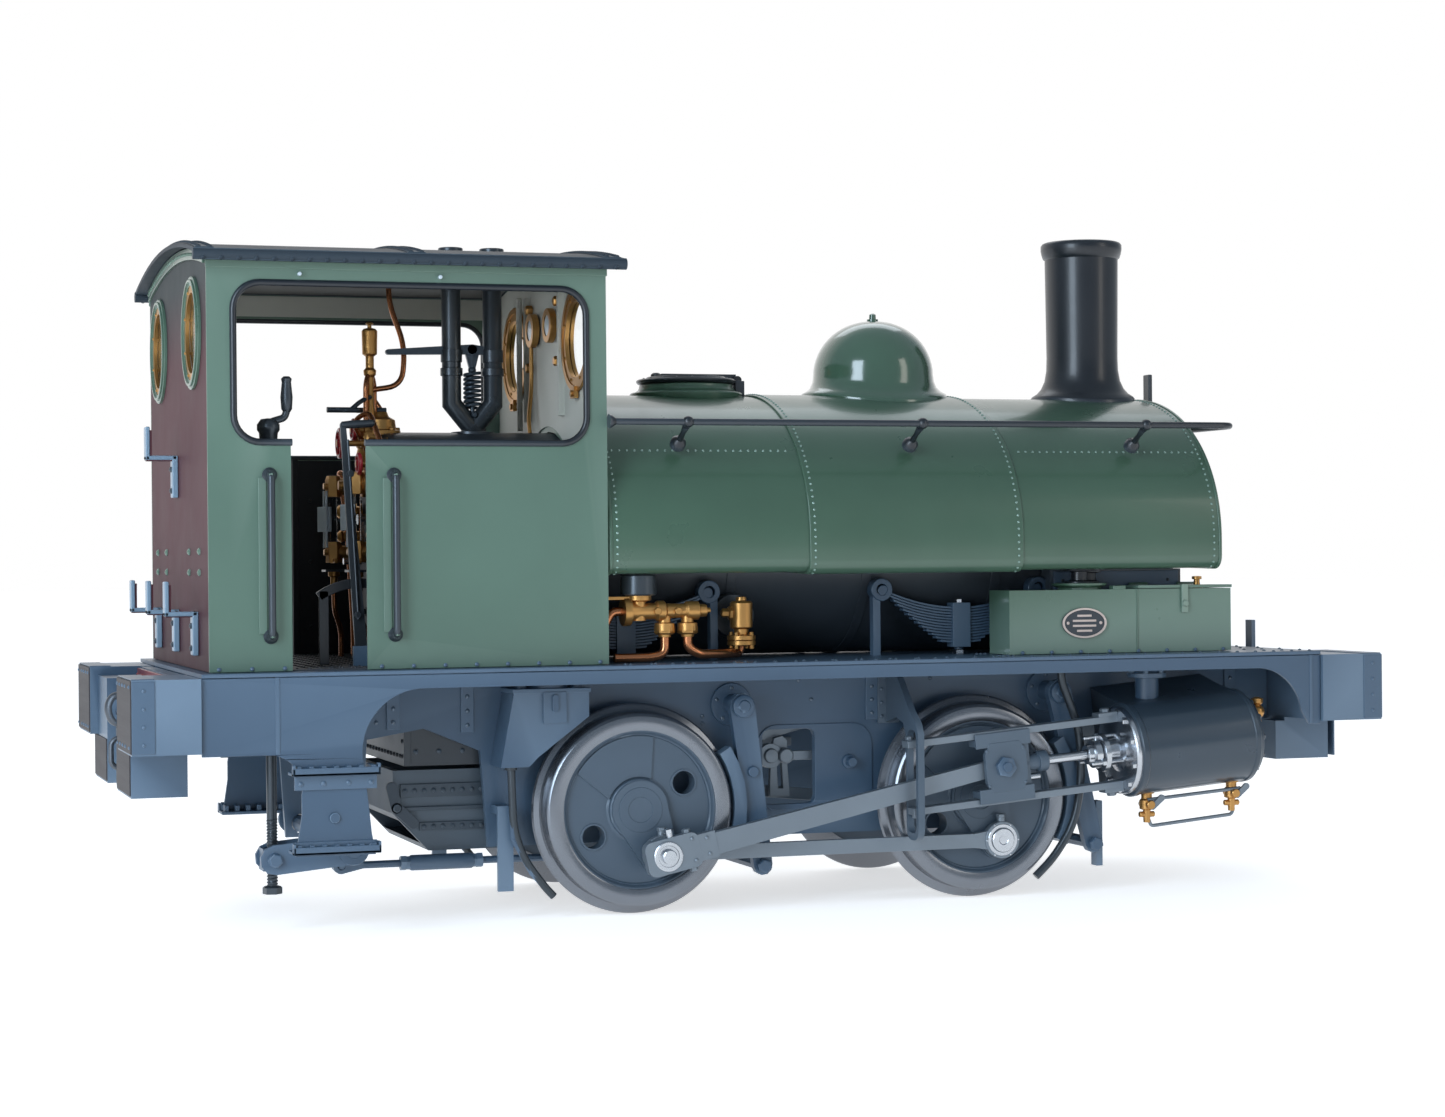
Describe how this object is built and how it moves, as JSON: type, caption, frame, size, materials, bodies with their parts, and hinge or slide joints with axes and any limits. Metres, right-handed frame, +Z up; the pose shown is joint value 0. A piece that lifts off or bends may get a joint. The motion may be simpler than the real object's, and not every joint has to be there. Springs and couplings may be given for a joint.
{
  "type": "live steam saddle tank locomotive",
  "caption": "Miniature coal-fired saddle tank shunting engine with cab, coupled wheels, outside cylinders, screw brake, opening smokebox door, lids and driver's controls.",
  "frame": {"origin": "rail-side centre of the engine: midway between the buffer faces and the two sides, at the lowest point of the wheel flanges", "axes": "+X towards the chimney end, +Y to the engine's left, +Z up"},
  "size_m": [0.551, 0.206, 0.2965],
  "materials": {
    "green": "satin",
    "slate": "satin",
    "black": "satin",
    "steel": "brushed",
    "brass": "satin"
  },
  "bodies": {
    "chassis": {"main_frame_left": "slate", "main_frame_right": "slate", "rear_buffer_beam": "slate", "front_buffer_beam": "slate", "running_plate": "slate", "valance_left": "slate", "valance_right": "slate", "cab_side_left": "green", "cab_side_right": "green", "cab_front": "green", "cab_rear": "green", "cab_roof": "black", "boiler": "black", "smokebox": "black", "saddle_tank": "green", "chimney": "black", "steam_dome": "green", "tank_handrail": "black", "sandbox_left": "green", "sandbox_right": "green", "spring_rear_left": "slate", "spring_rear_right": "slate", "spring_front_left": "slate", "spring_front_right": "slate", "ashpan": "black", "cylinder_left": "black", "cylinder_right": "black", "slide_bars_left": "slate", "slide_bars_right": "slate", "safety_valves": "black", "backhead_fittings": "brass", "injector_left": "brass", "injector_right": "brass", "brake_column": "black"},
    "rear_wheelset": {"rear_axle": "steel", "rear_wheel_left": "slate", "rear_wheel_right": "slate"},
    "front_wheelset": {"front_axle": "steel", "front_wheel_left": "slate", "front_wheel_right": "slate"},
    "coupling_rod_right": {"coupling_rod_right": "steel"},
    "coupling_rod_left": {"coupling_rod_left": "steel"},
    "crosshead_right": {"crosshead_right": "steel"},
    "crosshead_left": {"crosshead_left": "steel"},
    "connecting_rod_right": {"connecting_rod_right": "steel"},
    "connecting_rod_left": {"connecting_rod_left": "steel"},
    "smokebox_door": {"smokebox_door": "black"},
    "smokebox_dart": {"smokebox_dart": "steel"},
    "firehole_door": {"firehole_door": "black"},
    "filler_lid": {"filler_lid": "black"},
    "toolbox_lid_left": {"toolbox_lid_left": "green"},
    "toolbox_lid_right": {"toolbox_lid_right": "green"},
    "regulator_handle": {"regulator_handle": "steel"},
    "reversing_lever": {"reversing_lever": "steel"},
    "weighshaft": {"weighshaft": "slate"},
    "brake_screw": {"brake_screw": "steel"},
    "brake_shaft": {"brake_shaft": "slate"},
    "brake_pull_rod": {"brake_pull_rod": "slate"},
    "brake_hangers_rear": {"brake_hangers_rear": "slate"},
    "brake_hangers_front": {"brake_hangers_front": "slate"}
  },
  "joints": [
    {"name": "rear_axle_turn", "type": "hinge", "parent": "chassis", "child": "rear_wheelset", "pos_m": [-0.06185, 0, 0.0445], "axis": [0, 1, 0], "continuous": true},
    {"name": "front_axle_turn", "type": "hinge", "parent": "chassis", "child": "front_wheelset", "pos_m": [0.09325, 0, 0.0445], "axis": [0, 1, 0], "continuous": true},
    {"name": "coupling_rod_right_turn", "type": "hinge", "parent": "rear_wheelset", "child": "coupling_rod_right", "pos_m": [-0.05376, 0, 0.02588], "axis": [0, 1, 0], "continuous": true},
    {"name": "coupling_rod_left_turn", "type": "hinge", "parent": "rear_wheelset", "child": "coupling_rod_left", "pos_m": [-0.04323, 0, 0.05259], "axis": [0, 1, 0], "continuous": true},
    {"name": "crosshead_right_slide", "type": "slide", "parent": "chassis", "child": "crosshead_right", "axis": [0.9961, 0, 0.088], "range_m": [-0.0254, 0.015]},
    {"name": "crosshead_left_slide", "type": "slide", "parent": "chassis", "child": "crosshead_left", "axis": [0.9961, 0, 0.088], "range_m": [-0.0393, 0.0011]},
    {"name": "connecting_rod_right_swing", "type": "hinge", "parent": "crosshead_right", "child": "connecting_rod_right", "pos_m": [0.09805, 0, 0.05863], "axis": [0, 1, 0], "range_deg": [-0.39, 14.6]},
    {"name": "connecting_rod_left_swing", "type": "hinge", "parent": "crosshead_left", "child": "connecting_rod_left", "pos_m": [0.1119, 0, 0.05985], "axis": [0, 1, 0], "range_deg": [-9.8, 5.1]},
    {"name": "smokebox_door_hinge", "type": "hinge", "parent": "chassis", "child": "smokebox_door", "pos_m": [0.2023, 0.0445, 0.1562], "axis": [0, 0, 1], "range_deg": [0, 100]},
    {"name": "smokebox_dart_turn", "type": "hinge", "parent": "smokebox_door", "child": "smokebox_dart", "pos_m": [0.1993, 0, 0.1562], "axis": [1, 0, 0], "range_deg": [0, 90]},
    {"name": "firehole_door_hinge", "type": "hinge", "parent": "chassis", "child": "firehole_door", "pos_m": [-0.1598, -0.0175, 0.128], "axis": [0, 0, 1], "range_deg": [0, 110]},
    {"name": "filler_lid_hinge", "type": "hinge", "parent": "chassis", "child": "filler_lid", "pos_m": [0.0055, 0, 0.2296], "axis": [0, 1, 0], "range_deg": [0, 110]},
    {"name": "toolbox_lid_right_hinge", "type": "hinge", "parent": "chassis", "child": "toolbox_lid_right", "pos_m": [0.189, -0.0595, 0.1355], "axis": [1, 0, 0], "range_deg": [-18, 0]},
    {"name": "toolbox_lid_left_hinge", "type": "hinge", "parent": "chassis", "child": "toolbox_lid_left", "pos_m": [0.189, 0.0595, 0.1355], "axis": [1, 0, 0], "range_deg": [0, 18]},
    {"name": "regulator_turn", "type": "hinge", "parent": "chassis", "child": "regulator_handle", "pos_m": [-0.1573, 0, 0.168], "axis": [1, 0, 0], "range_deg": [0, 60]},
    {"name": "reversing_lever_swing", "type": "hinge", "parent": "chassis", "child": "reversing_lever", "pos_m": [-0.177, -0.058, 0.112], "axis": [0, 1, 0], "range_deg": [-12, 12]},
    {"name": "weighshaft_turn", "type": "hinge", "parent": "chassis", "child": "weighshaft", "pos_m": [0.038, 0, 0.084], "axis": [0, 1, 0], "range_deg": [-12, 12]},
    {"name": "brake_screw_turn", "type": "hinge", "parent": "chassis", "child": "brake_screw", "pos_m": [-0.2159, -0.066, 0.0186], "axis": [0, 0, 1], "range_deg": [-1080, 0]},
    {"name": "brake_shaft_turn", "type": "hinge", "parent": "chassis", "child": "brake_shaft", "pos_m": [-0.184, 0, 0.033], "axis": [0, 1, 0], "range_deg": [0, 7.65]},
    {"name": "brake_pull_rod_slide", "type": "slide", "parent": "chassis", "child": "brake_pull_rod", "axis": [-1, 0, 0], "range_m": [0, 0.00126]},
    {"name": "brake_hangers_rear_swing", "type": "hinge", "parent": "chassis", "child": "brake_hangers_rear", "pos_m": [-0.015, 0, 0.0868], "axis": [0, 1, 0], "range_deg": [0, 1.06]},
    {"name": "brake_hangers_front_swing", "type": "hinge", "parent": "chassis", "child": "brake_hangers_front", "pos_m": [0.1333, 0, 0.0893], "axis": [0, 1, 0], "range_deg": [0, 1.06]}
  ],
  "couplings": [
    {"joint": "front_axle_turn", "follows": "rear_axle_turn", "ratio": 1},
    {"joint": "coupling_rod_right_turn", "follows": "rear_axle_turn", "ratio": -1},
    {"joint": "coupling_rod_left_turn", "follows": "rear_axle_turn", "ratio": -1},
    {"joint": "weighshaft_turn", "follows": "reversing_lever_swing", "ratio": 1},
    {"joint": "brake_shaft_turn", "follows": "brake_screw_turn", "ratio": -0.00705},
    {"joint": "brake_hangers_rear_swing", "follows": "brake_screw_turn", "ratio": -0.00097},
    {"joint": "brake_hangers_front_swing", "follows": "brake_screw_turn", "ratio": -0.00097},
    {"joint": "brake_pull_rod_slide", "follows": "brake_screw_turn", "m_per_rad": -0.0000664}
  ]
}
